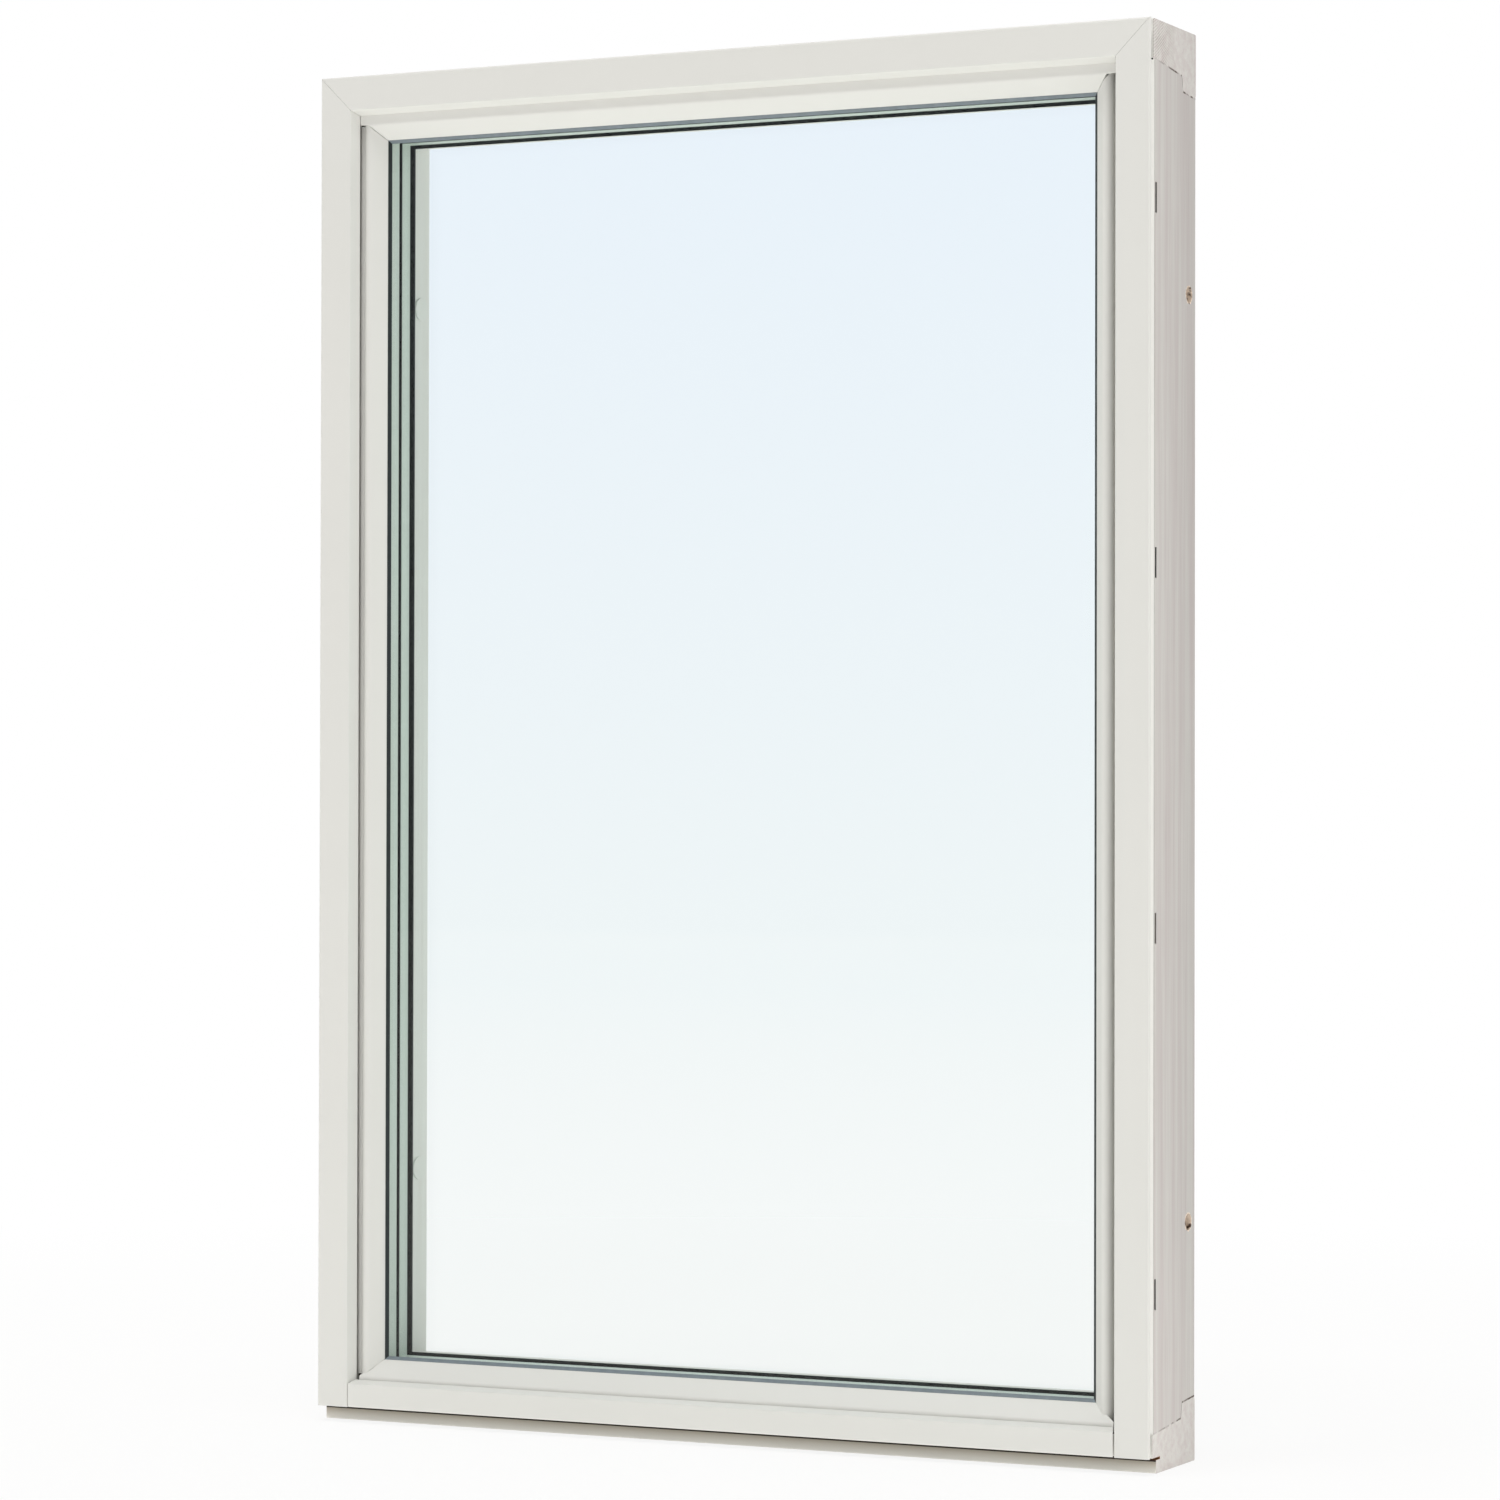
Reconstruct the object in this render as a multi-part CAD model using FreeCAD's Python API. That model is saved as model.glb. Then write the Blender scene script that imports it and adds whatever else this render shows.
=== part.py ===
import FreeCAD
import Part
import math
import os

os.makedirs("parts", exist_ok=True)

# A fixed timber window with aluminium cladding outside and a triple-glazed unit.
# Millimetres. +X is right seen from outside, -Y faces outdoors, +Z is up.
# Each section is drawn as (inset from the frame's outer edge, depth behind the cladding face).

# Overall size
WIDTH = 780.0
HEIGHT = 1180.0
DEPTH = 105.0

# Gap left at a tight joint, and at a butt joint between two lengths of aluminium
JOINT = 0.3
BUTT_GAP = 1.2

# Aluminium cladding
CLAD_WALL = 1.8
CLAD_FACE = 30.0
CLAD_LIP = 2.6
CLAD_RETURN = 10.5
CLAD_SPLAY = 3.8
CLAD_EDGE_RADIUS = 2.0
CLAD_ARRIS_RADIUS = 0.9
SILL_CLAD_BOTTOM = 13.0
SILL_CLAD_HEIGHT = 20.7
SILL_CLAD_RETURN = 8.0

# Clips that hold the cladding off the timber, and the saw slots they hook into
CLIP_HEIGHT = 6.2
CLIP_WIDTH = 14.0
CLIP_LENGTH = 25.0
CLIP_LEG = 2.5
CLIP_WEB = 2.2
CLIP_FROM_END = 145.0
JAMB_CLIPS = 4
HEAD_CLIPS = 3
SLOT_LENGTH = 25.5
SLOT_WIDTH = 4.0
SLOT_CUT = 8.0
SLOT_SETBACK = 4.0

# Timber sections
REBATE_FRONT = 32.0
REBATE_BACK = 38.5
STOP_FRONT = 51.0
STOP_BACK = 53.5
REBATE_FILLET = 3.0
STOP_ARRIS_RADIUS = 2.0
INNER_ARRIS_RADIUS = 3.5
TIMBER_ARRIS_RADIUS = 1.2
JAMB_CHAMFER = 3.8
SILL_TOE_SETBACK = 8.0
SILL_TOE_HEIGHT = 11.0
KERF_CUT = 9.0
LEDGE_CLEARANCE = 1.2
COPE_OVERRUN = 8.0

# Sealed glazing unit
GLASS = 4.0
CAVITY = 16.0
GLASS_FRONT = 25.5
GLASS_INSET = 43.0
SEAL_WIDTH = 5.5
SPACER_WIDTH = 6.3
SPACER_WALL = 0.8
BUTYL = 1.3
BUTYL_SETBACK = 0.3
GLAZING_DROP = 1.4

# Aluminium glazing beads
BEAD_WALL = 1.6
BEAD_NOSE = 38.2
BEAD_NOSE_DEPTH = 6.2
BEAD_NOSE_RADIUS = 2.4
BEAD_TIP = 54.9
BEAD_TIP_FLAT = 0.6
BEAD_FLOOR = 16.5
RAIL_BEAD_FLOOR = 10.9
RAIL_BEAD_NOSE_RADIUS = 1.7
BEAD_FOOT = 6.4
BEAD_STEP = 42.0
BEAD_END_GAP = 1.8

# Rubber gaskets
OUTER_GASKET_LIP = 57.8
OUTER_GASKET_START = 47.0
OUTER_GASKET_SHOULDER = 0.4
INNER_GASKET = 4.5
INNER_GASKET_LIP = 57.4
INNER_GASKET_LIP_WALL = 1.6
INNER_GASKET_START = 45.0

# Setting blocks under the glazing unit
BLOCK_LENGTH = 100.0
BLOCK_FROM_CORNER = 60.0

# Fixing holes in the jambs and their caps
FIXING_RADIUS = 7.0
FIXING_NEAR_END = 198.0
FIXING_FAR_END = 217.0
CAP_RADIUS = 10.0
CAP_THICKNESS = 1.2
CAP_STEM_RADIUS = 8.0
CAP_STEM = 6.0
CAP_STEM_WALL = 1.2
CAP_CLEARANCE = 0.15
CAP_STEM_GAP = 1.5

# Depths that follow from the layers
TIMBER_FRONT = CLAD_WALL + CLIP_HEIGHT
GLASS_BACK = GLASS_FRONT + 3 * GLASS + 2 * CAVITY
STOP_DEPTH = GLASS_BACK + INNER_GASKET
BEAD_SLOPE = BEAD_NOSE - BEAD_NOSE_DEPTH
BEAD_LIP = BEAD_TIP - BEAD_SLOPE + BEAD_TIP_FLAT
BEAD_BACK = BEAD_FLOOR + BEAD_WALL
SPACER_INSET = GLASS_INSET + SEAL_WIDTH
SIGHTLINE = SPACER_INSET + SPACER_WIDTH
SILL_CLAD_TOP = SILL_CLAD_BOTTOM + SILL_CLAD_HEIGHT
FIXING_DEPTH = (STOP_DEPTH + DEPTH) / 2

SIDES = ("head", "sill", "left", "right")


def at(side, inset, depth, along, drop=0.0):
    """Point of one side; along is X on the head and sill, Z on the jambs; drop lowers the sill."""
    y = depth - DEPTH / 2
    if side == "head":
        return FreeCAD.Vector(along, y, HEIGHT - inset)
    if side == "sill":
        return FreeCAD.Vector(along, y, inset - drop)
    if side == "left":
        return FreeCAD.Vector(inset - WIDTH / 2, y, along)
    return FreeCAD.Vector(WIDTH / 2 - inset, y, along)


def ends(side, drop=0.0):
    """Where the outer edges end along one side."""
    if side in ("head", "sill"):
        return (-WIDTH / 2, WIDTH / 2)
    return (-drop, HEIGHT)


def outline(points):
    """Closed wire through (point, radius) corners; a corner with a radius is rounded."""
    edges = []
    first = None
    last = None
    count = len(points)
    for i, (corner, radius) in enumerate(points):
        back = (points[i - 1][0] - corner).normalize()
        ahead = (points[(i + 1) % count][0] - corner).normalize()
        start = corner
        finish = corner
        arc = None
        if radius > 0:
            half = back.getAngle(ahead) / 2
            reach = radius / math.tan(half)
            start = corner + back * reach
            finish = corner + ahead * reach
            inward = (back + ahead).normalize()
            middle = corner + inward * (radius / math.sin(half) - radius)
            arc = Part.Arc(start, middle, finish).toShape()
        if last is not None:
            edges.append(Part.makeLine(last, start))
        if first is None:
            first = start
        if arc is not None:
            edges.append(arc)
        last = finish
    edges.append(Part.makeLine(last, first))
    return Part.Wire(edges)


def bar(side, section, start, end, drop=0.0):
    """Section of (inset, depth, radius) corners run along one side from start to end."""
    corners = [(at(side, w, d, start, drop), r) for w, d, r in section]
    run = at(side, 0, 0, end) - at(side, 0, 0, start)
    return Part.Face(outline(corners)).extrude(run)


def full_bar(side, section, drop=0.0):
    return bar(side, section, *ends(side, drop), drop)


def sheet(points):
    """Prism through the whole depth over an outline of (x, z) points, to trim lengths with."""
    margin = DEPTH
    corners = [FreeCAD.Vector(x, -margin, z) for x, z in points]
    face = Part.Face(Part.makePolygon(corners + corners[:1]))
    return face.extrude(FreeCAD.Vector(0, 2 * margin, 0))


def across(side, points, drop=0.0):
    """Turn (inset, distance from the side's near end) points of a symmetrical trim into (x, z)."""
    low, high = ends(side, drop)
    near = [(w, low + s) for w, s in points]
    far = [(w, high - s) for w, s in reversed(points)]
    return [(p.x, p.z) for p in (at(side, w, 0, s, drop) for w, s in near + far)]


def mitre(side, gap, drop=0.0):
    """Trim for one side of a ring of strips that meet on 45 degree lines."""
    deep = WIDTH / 4
    return sheet(across(side, [(0, gap), (deep, deep + gap)], drop))


def rebate_floor(depth):
    """Inset of the sloping rebate floor at one depth."""
    share = (depth - TIMBER_FRONT) / (STOP_DEPTH - TIMBER_FRONT)
    return REBATE_FRONT + share * (REBATE_BACK - REBATE_FRONT)


def spread(low, high, count):
    return [low + (high - low) * i / (count - 1) for i in range(count)]


def clip_places(side):
    low, high = ends(side)
    count = HEAD_CLIPS if side in ("head", "sill") else JAMB_CLIPS
    return spread(low + CLIP_FROM_END, high - CLIP_FROM_END, count)


def fixing_places(side):
    """Heights of the fixing holes; one jamb is the other turned end for end."""
    if side == "left":
        return (FIXING_FAR_END, HEIGHT - FIXING_NEAR_END)
    return (FIXING_NEAR_END, HEIGHT - FIXING_FAR_END)


def rod(side, along, radius, start, end):
    """Round bar through a jamb at one height, between two (inset, depth) points."""
    foot = at(side, *start, along)
    run = at(side, *end, along) - foot
    return Part.makeCylinder(radius, run.Length, foot, run)


def cap_point(height):
    """Point on a cap's axis, this far out of the stop's sloping face at the fixing hole."""
    fall = STOP_BACK - STOP_FRONT
    length = DEPTH - STOP_DEPTH
    seat = STOP_FRONT + fall * (FIXING_DEPTH - STOP_DEPTH) / length
    face = math.hypot(fall, length)
    return (seat + height * length / face, FIXING_DEPTH - height * fall / face)


def inner_outline():
    """Rebate, stop and back corners that all four timbers share, from front to back."""
    return [
        (REBATE_FRONT, TIMBER_FRONT, 0),
        (REBATE_BACK, STOP_DEPTH, REBATE_FILLET),
        (STOP_FRONT, STOP_DEPTH, STOP_ARRIS_RADIUS),
        (STOP_BACK, DEPTH, INNER_ARRIS_RADIUS),
        (0, DEPTH, TIMBER_ARRIS_RADIUS),
    ]


def ledge():
    """Routed step round the head and jambs that clears the cladding's inner return."""
    inset = CLAD_FACE - CLAD_WALL - LEDGE_CLEARANCE
    step = [
        (inset, 0, 0),
        (STOP_BACK, 0, 0),
        (STOP_BACK, BEAD_BACK, 0),
        (inset, BEAD_BACK, 0),
    ]
    cuts = [bar("head", step, inset - WIDTH / 2, WIDTH / 2 - inset)]
    for side in ("left", "right"):
        cuts.append(bar(side, step, REBATE_FRONT, HEIGHT - inset))
    return cuts


def clip_slots(side):
    """Disc-saw slots in the jamb's outer face behind its chamfer."""
    radius = (SLOT_LENGTH ** 2 / 4 + SLOT_CUT ** 2) / (2 * SLOT_CUT)
    front = TIMBER_FRONT + SLOT_SETBACK
    discs = []
    for height in clip_places(side):
        centre = at(side, SLOT_CUT - radius, front, height)
        discs.append(Part.makeCylinder(radius, SLOT_WIDTH, centre, FreeCAD.Vector(0, 1, 0)))
    return discs


def fixing_cuts(side):
    """Fixing holes with a wider socket for the cap at the room end."""
    cuts = []
    for height in fixing_places(side):
        cuts.append(rod(side, height, FIXING_RADIUS, (0, FIXING_DEPTH), (STOP_BACK, FIXING_DEPTH)))
        cuts.append(rod(side, height, CAP_STEM_RADIUS, cap_point(-CAP_STEM), cap_point(CAP_STEM)))
    return cuts


def timbers():
    """Head and sill run through; the jambs are coped over their rebated sections."""
    head = full_bar("head", [(0, TIMBER_FRONT, TIMBER_ARRIS_RADIUS)] + inner_outline())
    toe = TIMBER_FRONT + SILL_TOE_SETBACK
    kerf_end = toe + KERF_CUT
    sill_front = [
        (0, toe, TIMBER_ARRIS_RADIUS),
        (SILL_TOE_HEIGHT, toe, 0),
        (SILL_TOE_HEIGHT, kerf_end, 0),
        (SILL_CLAD_BOTTOM, kerf_end, 0),
        (SILL_CLAD_BOTTOM, TIMBER_FRONT, 0),
    ]
    sill = full_bar("sill", sill_front + inner_outline())
    frame = {"head": head, "sill": sill}
    routed = ledge()
    jamb_front = [(0, TIMBER_FRONT + JAMB_CHAMFER, 0), (JAMB_CHAMFER, TIMBER_FRONT, 0)]
    for side in ("left", "right"):
        start = REBATE_FRONT - COPE_OVERRUN
        jamb = bar(side, jamb_front + inner_outline(), start, HEIGHT - start)
        frame[side] = jamb.cut([head, sill] + routed + clip_slots(side) + fixing_cuts(side))
    frame["head"] = head.cut(routed)
    return frame


def channel(edge, face_end, depth):
    """Cladding section between two insets: lip, rounded edge, face and splayed return."""
    tip = face_end + CLAD_SPLAY * depth / CLAD_RETURN
    return [
        (edge, CLAD_LIP, 0),
        (edge, 0, CLAD_EDGE_RADIUS),
        (face_end, 0, CLAD_ARRIS_RADIUS),
        (tip, depth, 0),
        (tip - CLAD_WALL, depth, 0),
        (face_end - CLAD_WALL, CLAD_WALL, 0),
        (edge + CLAD_WALL, CLAD_WALL, 0),
        (edge + CLAD_WALL, CLAD_LIP, 0),
    ]


def cladding(frame):
    """Folded-edge channels, mitred at the head; the sill channel butts between the jambs."""
    reach = CLAD_FACE + CLAD_SPLAY
    room = [
        (0, 0, 0),
        (CLAD_FACE + BUTT_GAP, 0, 0),
        (reach + BUTT_GAP, CLAD_RETURN, 0),
        (0, CLAD_RETURN, 0),
    ]
    sill = full_bar("sill", channel(SILL_CLAD_BOTTOM, SILL_CLAD_TOP, SILL_CLAD_RETURN))
    section = channel(0, CLAD_FACE, CLAD_RETURN)
    pieces = {
        "head": full_bar("head", section).common(mitre("head", JOINT)),
        "sill": sill.cut([full_bar(side, room) for side in ("left", "right")]),
    }
    for side in ("left", "right"):
        corners = [(0, 0), (0, HEIGHT), (reach, HEIGHT - reach), (reach, 0)]
        trim = sheet([(p.x, p.z) for p in (at(side, w, 0, z) for w, z in corners)])
        length = bar(side, section, SILL_CLAD_BOTTOM, HEIGHT).common(trim)
        pieces[side] = length.cut(frame["sill"])
    return pieces


def bead_section(foot, floor, radius):
    """Folded bead: foot on the rebate floor, channel floor, wall, rounded nose, 45 degree face, tip."""
    inner_slope = BEAD_SLOPE - BEAD_WALL * math.sqrt(2)
    foot_end = BEAD_BACK + BEAD_FOOT
    back = floor + BEAD_WALL
    inside = BEAD_NOSE + BEAD_WALL
    return [
        (rebate_floor(foot_end) + foot, foot_end, 0),
        (rebate_floor(floor) + foot, floor, 0),
        (BEAD_NOSE, floor, 0),
        (BEAD_NOSE, BEAD_NOSE_DEPTH, radius),
        (BEAD_TIP, BEAD_TIP - BEAD_SLOPE, 0),
        (BEAD_TIP, BEAD_LIP, 0),
        (BEAD_LIP + inner_slope, BEAD_LIP, 0),
        (inside, inside - inner_slope, radius - BEAD_WALL),
        (inside, back, 0),
        (rebate_floor(back) + foot + BEAD_WALL, back, 0),
        (rebate_floor(foot_end) + foot + BEAD_WALL, foot_end, 0),
    ]


def beads():
    """Shallow head and sill beads run through under a stepped mitre that the deeper side beads fit."""
    start = CLAD_FACE + CLAD_SPLAY + BEAD_END_GAP
    lift = BEAD_STEP + BUTT_GAP
    deep = WIDTH / 4
    through = [(0, start), (BEAD_STEP, start), (BEAD_STEP, BEAD_STEP), (deep, deep)]
    fitted = [(0, lift), (BEAD_STEP, lift), (deep, deep + BUTT_GAP)]
    steps = {"head": through, "sill": through, "left": fitted, "right": fitted}
    pieces = {}
    for side in SIDES:
        foot = GLAZING_DROP if side == "sill" else 0.0
        section = bead_section(foot, BEAD_FLOOR, BEAD_NOSE_RADIUS)
        if side in ("head", "sill"):
            section = bead_section(foot, RAIL_BEAD_FLOOR, RAIL_BEAD_NOSE_RADIUS)
        trim = sheet(across(side, steps[side], GLAZING_DROP))
        pieces[side] = full_bar(side, section, GLAZING_DROP).common(trim)
    return pieces


def strip(side, section):
    """One side of a ring of glazing strips, cut to its mitres."""
    return full_bar(side, section, GLAZING_DROP).common(mitre(side, 0, GLAZING_DROP))


def ring(section):
    return {side: strip(side, section) for side in SIDES}


def outer_gasket():
    return [
        (OUTER_GASKET_START, BEAD_LIP, 0),
        (BEAD_TIP + OUTER_GASKET_SHOULDER, BEAD_LIP, 0),
        (OUTER_GASKET_LIP, GLASS_FRONT, 0),
        (OUTER_GASKET_START, GLASS_FRONT, 0),
    ]


def inner_gasket():
    """Strip between the inner pane and the stop, with a thin lip along the glass."""
    lip_back = GLASS_BACK + INNER_GASKET_LIP_WALL
    return [
        (INNER_GASKET_START, GLASS_BACK, 0),
        (INNER_GASKET_LIP, GLASS_BACK, 0),
        (INNER_GASKET_LIP - OUTER_GASKET_SHOULDER, lip_back, 0),
        (STOP_FRONT, lip_back, 0),
        (STOP_FRONT, STOP_DEPTH, 0),
        (INNER_GASKET_START, STOP_DEPTH, 0),
    ]


def cavity_fronts():
    first = GLASS_FRONT + GLASS
    return (first, first + CAVITY + GLASS)


def spacer_section(front, wall):
    """Spacer bar across one cavity between its butyl beds, less a wall all round."""
    low, high = SPACER_INSET + wall, SIGHTLINE - wall
    near, far = front + BUTYL + wall, front + CAVITY - BUTYL - wall
    return [(low, near, 0), (high, near, 0), (high, far, 0), (low, far, 0)]


def seal_section(front):
    """Edge sealant behind a spacer bar, with a butyl bed up each side of the bar."""
    bed = SIGHTLINE - BUTYL_SETBACK
    near, far = front + BUTYL, front + CAVITY - BUTYL
    return [
        (GLASS_INSET, front, 0),
        (bed, front, 0),
        (bed, near, 0),
        (SPACER_INSET, near, 0),
        (SPACER_INSET, far, 0),
        (bed, far, 0),
        (bed, front + CAVITY, 0),
        (GLASS_INSET, front + CAVITY, 0),
    ]


def spacer_strips(side):
    """Hollow spacer bars, one to each cavity."""
    strips = []
    for front in cavity_fronts():
        hollow = full_bar(side, spacer_section(front, SPACER_WALL), GLAZING_DROP)
        strips.append(strip(side, spacer_section(front, 0)).cut(hollow))
    return strips


def seal_strips(side):
    return [strip(side, seal_section(front)) for front in cavity_fronts()]


def pane(front):
    left = WIDTH / 2 - GLASS_INSET
    bottom = GLASS_INSET - GLAZING_DROP
    corner = FreeCAD.Vector(-left, front - DEPTH / 2, bottom)
    return Part.makeBox(2 * left, GLASS, HEIGHT - GLASS_INSET - bottom, corner)


def setting_blocks():
    """Wedge blocks that level the sloping rebate under all three panes."""
    front = BEAD_BACK + BEAD_FOOT + JOINT
    top = GLASS_INSET - GLAZING_DROP
    section = [
        (rebate_floor(front), front, 0),
        (top, front, 0),
        (top, GLASS_BACK, 0),
        (rebate_floor(GLASS_BACK), GLASS_BACK, 0),
    ]
    start = WIDTH / 2 - GLASS_INSET - BLOCK_FROM_CORNER
    return [
        bar("sill", section, -start, BLOCK_LENGTH - start),
        bar("sill", section, start - BLOCK_LENGTH, start),
    ]


def clips(side):
    """Two-legged snap clips between the timber and the cladding."""
    middle = CLAD_FACE / 2
    if side == "sill":
        middle = (SILL_CLAD_BOTTOM + REBATE_FRONT) / 2
    low = middle - CLIP_WIDTH / 2
    high = middle + CLIP_WIDTH / 2
    web = TIMBER_FRONT - CLIP_WEB
    section = [
        (low, TIMBER_FRONT, 0),
        (low, CLAD_WALL, 0),
        (low + CLIP_LEG, CLAD_WALL, 0),
        (low + CLIP_LEG, web, 0),
        (high - CLIP_LEG, web, 0),
        (high - CLIP_LEG, CLAD_WALL, 0),
        (high, CLAD_WALL, 0),
        (high, TIMBER_FRONT, 0),
    ]
    half = CLIP_LENGTH / 2
    return [bar(side, section, place - half, place + half) for place in clip_places(side)]


def caps(side):
    """Thin round caps pressed into the room ends of the fixing holes."""
    radius = CAP_STEM_RADIUS - CAP_CLEARANCE
    stem_end = cap_point(CAP_STEM_GAP - CAP_STEM)
    pieces = []
    for height in fixing_places(side):
        disc = rod(side, height, CAP_RADIUS, cap_point(0), cap_point(CAP_THICKNESS))
        stem = rod(side, height, radius, stem_end, cap_point(0))
        hollow = rod(side, height, radius - CAP_STEM_WALL, stem_end, cap_point(0))
        pieces.append(disc.fuse(stem.cut(hollow)).removeSplitter())
    return pieces


def export(node, solids):
    shape = solids[0] if len(solids) == 1 else Part.makeCompound(solids)
    shape.exportStep("parts/" + node + ".step")


def export_sides(prefix, pieces):
    for side in SIDES:
        solids = pieces[side] if isinstance(pieces[side], list) else pieces[side].Solids
        export(prefix + "_" + side, solids)


timber = timbers()
export_sides("frame", timber)
export_sides("cladding", cladding(timber))
export_sides("bead", beads())
export_sides("outer_gasket", ring(outer_gasket()))
export_sides("inner_gasket", ring(inner_gasket()))
export_sides("spacer", {side: spacer_strips(side) for side in SIDES})
export_sides("edge_seal", {side: seal_strips(side) for side in SIDES})
export_sides("clips", {side: clips(side) for side in SIDES})
export("glass_outer", [pane(GLASS_FRONT)])
export("glass_middle", [pane(GLASS_FRONT + GLASS + CAVITY)])
export("glass_inner", [pane(GLASS_BACK - GLASS)])
export("setting_blocks", setting_blocks())
for side in ("left", "right"):
    export("fixing_caps_" + side, caps(side))
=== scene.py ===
import bmesh
import bpy
import math
from mathutils import Matrix, Vector


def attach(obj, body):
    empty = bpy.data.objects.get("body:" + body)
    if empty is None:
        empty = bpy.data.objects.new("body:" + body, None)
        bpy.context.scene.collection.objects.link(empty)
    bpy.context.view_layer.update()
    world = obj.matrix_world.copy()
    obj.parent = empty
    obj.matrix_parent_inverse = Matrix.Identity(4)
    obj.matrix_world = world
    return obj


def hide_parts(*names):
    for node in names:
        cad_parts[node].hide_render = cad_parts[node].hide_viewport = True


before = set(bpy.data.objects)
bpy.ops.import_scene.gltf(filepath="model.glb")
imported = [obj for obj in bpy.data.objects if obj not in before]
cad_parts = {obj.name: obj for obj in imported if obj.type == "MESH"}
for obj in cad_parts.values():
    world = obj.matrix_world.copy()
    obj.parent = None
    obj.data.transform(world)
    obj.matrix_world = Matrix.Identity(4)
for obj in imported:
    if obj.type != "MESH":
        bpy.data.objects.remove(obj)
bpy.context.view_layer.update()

# A fixed timber window with aluminium cladding, seen from outdoors and a little from its right.
# Metres. +X is right seen from outside, -Y faces outdoors, +Z is up.
MM = 0.001
SIDES = ("head", "sill", "left", "right")

# Main places of the window in mm. An inset is counted from the frame's outer edge, a depth from its
# outdoor face.
HALF_WIDTH = 390.0
HEIGHT = 1180.0
HALF_DEPTH = 52.5
TIMBER_FRONT = -44.5
STOP_FRONT = 21.5
REBATE_INSET = 32.0
REBATE_FALL = 6.5

# Glazing beads in mm. On their face, at 45 degrees, the depth is the inset less FACE_SHIFT.
FACE_SHIFT = 32.0
SHEET = 1.6
TIP = 54.9
STEP = 42.0
BUTT = 0.6
NOTCH = 37.4
FOOT_END = 24.5
DROP = 1.4
NOSE_RADIUS = {"head": 4.0, "sill": 4.0, "left": 5.0, "right": 5.6}
CHANNEL_FLOOR = {"head": 10.55, "sill": 8.6, "left": 15.3, "right": 22.5}
CHANNEL_WALL = {"left": 36.4, "right": 38.6}
# Where the head and sill beads end beside the cladding, where the sill bead's notch ends, and where the
# right bead ends behind them.
RAIL_END, NOTCH_END, TUCKED_END = 34.2, 37.6, 38.0


def linear(code):
    """Linear RGBA of an sRGB hex colour."""
    channels = [int(code[i:i + 2], 16) / 255 for i in (1, 3, 5)]
    return [c / 12.92 if c <= 0.04045 else ((c + 0.055) / 1.055) ** 2.4 for c in channels] + [1.0]


def add(tree, kind, inputs=None, **settings):
    """One shader node with its settings; an input takes a value, a socket, or a node's first output."""
    node = tree.nodes.new("ShaderNode" + kind)
    for name, value in settings.items():
        setattr(node, name, value)
    for name, value in (inputs or {}).items():
        if isinstance(value, bpy.types.Node):
            value = next(socket for socket in value.outputs if socket.enabled)
        if isinstance(value, bpy.types.NodeSocket):
            tree.links.new(value, node.inputs[name])
        else:
            node.inputs[name].default_value = value
    return node


def start_material(name):
    material = bpy.data.materials.new(name)
    material.use_nodes = True
    material.node_tree.nodes.clear()
    return material, material.node_tree


def dress(material, prefix, sides=SIDES):
    """Gives the CAD nodes of one kind their finish."""
    for side in sides:
        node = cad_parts[prefix + "_" + side if side else prefix]
        for slot in node.material_slots:
            slot.material = material


def powder_coated_aluminium():
    """Extruded aluminium under baked polyester powder: an even off-white satin skin with a faint
    orange peel in its highlights."""
    material, tree = start_material("powder_coated_aluminium")
    place = add(tree, "TexCoord").outputs["Object"]
    peel = add(tree, "TexNoise", {"Vector": place, "Scale": 1 / (2.5 * MM), "Detail": 2.0})
    cloud = add(tree, "TexNoise", {"Vector": place, "Scale": 1 / (180 * MM), "Detail": 3.0})
    tone = add(tree, "Mix", {0: cloud, 6: linear("#E1E0DB"), 7: linear("#E5E4DF")}, data_type="RGBA")
    satin = add(tree, "MapRange", {"Value": peel, "To Min": 0.36, "To Max": 0.46})
    bump = add(tree, "Bump", {"Height": peel, "Strength": 0.03, "Distance": 0.1 * MM})
    skin = add(tree, "BsdfPrincipled", {
        "Base Color": tone, "Roughness": satin, "IOR": 1.5, "Normal": bump})
    add(tree, "OutputMaterial", {"Surface": skin})
    return material


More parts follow.
